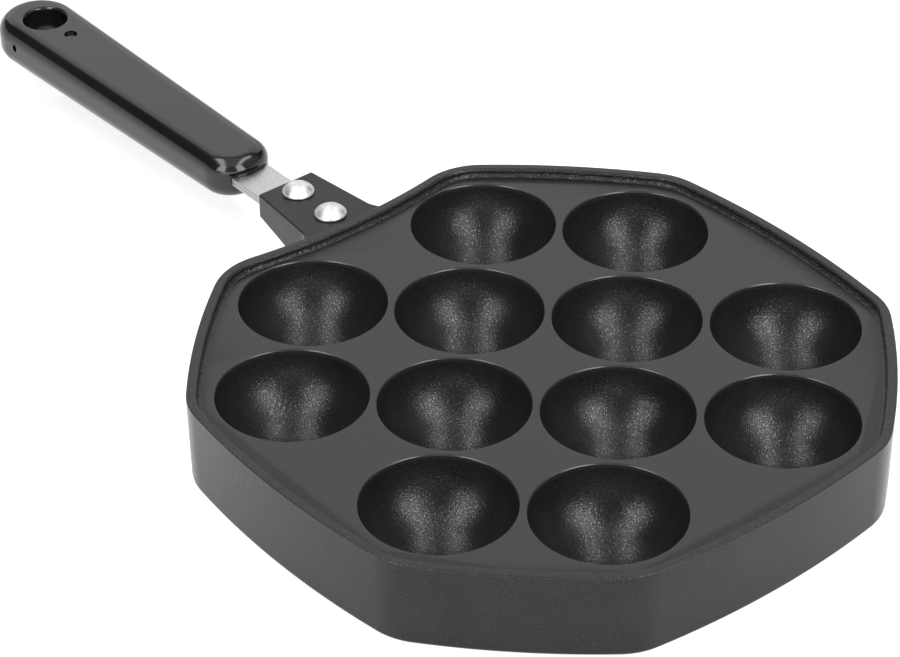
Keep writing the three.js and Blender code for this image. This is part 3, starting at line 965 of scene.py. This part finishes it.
def light_panel(name, place, facing, across, width, length, brightness):
    """A flat soft light; its place in millimetres is to the camera's right, towards it, and up."""
    light = bpy.data.lights.new(name, "AREA")
    light.shape = "RECTANGLE"
    light.size, light.size_y = width * MM, length * MM
    light.energy = brightness * math.pi * light.size * light.size_y
    made = in_scene(bpy.data.objects.new(name, light))
    middle = SIDE * place[0] - AWAY * place[1] + UPWARDS * place[2]
    made.matrix_world = posed(middle, across, across.cross(facing), -facing)
    made.visible_camera = False


def light_arch(side, upright, strip):
    """An upright panel before the pan, and a strip overhead that carries it on to the back."""
    lateral, width, brightness = upright
    facing = -(SIDE * lateral - AWAY * ARCH_FRONT).normalized()
    across = UPWARDS.cross(facing)
    length = ARCH_HEIGHT - ARCH_FOOT
    place = (lateral, ARCH_FRONT, (ARCH_FOOT + ARCH_HEIGHT) / 2)
    light_panel("upright_" + side, place, facing, across, width, length, brightness)
    lateral, width, brightness = strip
    place = (lateral, STRIP_FRONT - STRIP_LENGTH / 2, ARCH_HEIGHT)
    light_panel("strip_" + side, place, -UPWARDS, SIDE, width, STRIP_LENGTH, brightness)


def towards(azimuth, elevation):
    """A direction from the pan, in degrees; the azimuth runs from the camera to its right."""
    a, e = math.radians(azimuth), math.radians(elevation)
    level = -AWAY * math.cos(a) + SIDE * math.sin(a)
    return level * math.cos(e) + UPWARDS * math.sin(e)


def softbox_group():
    """How much of a soft rectangular light lies in a direction, from 0 to 1."""
    group, given, result = group_of(
        "softbox",
        {
            "Axis": "vector",
            "Across": "vector",
            "Up": "vector",
            "Half Width": "value",
            "Half Height": "value",
            "Edge": "value",
        },
        {"Mask": "value"},
    )
    direction = group.nodes.new("ShaderNodeTexCoord").outputs["Generated"]
    edge = given.outputs["Edge"]

    def along(name):
        return vector_maths(group, "DOT_PRODUCT", direction, given.outputs[name])["Value"]

    depth = maths(group, "MAXIMUM", along("Axis"), LEAST_DEPTH)
    masks = []
    for axis, size in (("Across", "Half Width"), ("Up", "Half Height")):
        slope = maths(group, "ABSOLUTE", maths(group, "DIVIDE", along(axis), depth))
        half = given.outputs[size]
        least, most = maths(group, "SUBTRACT", half, edge), maths(group, "ADD", half, edge)
        step = mapped(group, slope, least, most)
        step.interpolation_type = "SMOOTHSTEP"
        step.inputs["To Min"].default_value = 1.0
        step.inputs["To Max"].default_value = 0.0
        masks.append(step.outputs["Result"])
    group.links.new(maths(group, "MULTIPLY", *masks), result.inputs["Mask"])
    return group


def studio_world():
    """Soft boxes in a dim room; seen by the camera itself, the room is plain white."""
    world = bpy.data.worlds.new("studio")
    bpy.context.scene.world = world
    world.use_nodes = True
    tree = world.node_tree
    softbox = softbox_group()
    total = GLOOM
    for azimuth, elevation, width, height, edge, brightness in SOFTBOXES:
        axis = towards(azimuth, elevation)
        across = UPWARDS.cross(towards(azimuth, 0)).normalized()
        box = effect(
            tree,
            softbox,
            axis=axis,
            across=across,
            up=axis.cross(across),
            half_width=math.tan(math.radians(width)),
            half_height=math.tan(math.radians(height)),
            edge=edge,
        )
        total = maths(tree, "MULTIPLY_ADD", box.outputs["Mask"], brightness, total)
    path = tree.nodes.new("ShaderNodeLightPath")
    seen = blend(tree, "FLOAT", path.outputs["Is Camera Ray"], total, 1.0)
    room = tree.nodes["Background"]
    room.inputs["Strength"].default_value = 1.0
    tree.links.new(seen, room.inputs["Color"])


for arch_side, (arch_upright, arch_strip) in ARCHES.items():
    light_arch(arch_side, arch_upright, arch_strip)
studio_world()
bpy.context.scene.view_settings.view_transform = "Standard"
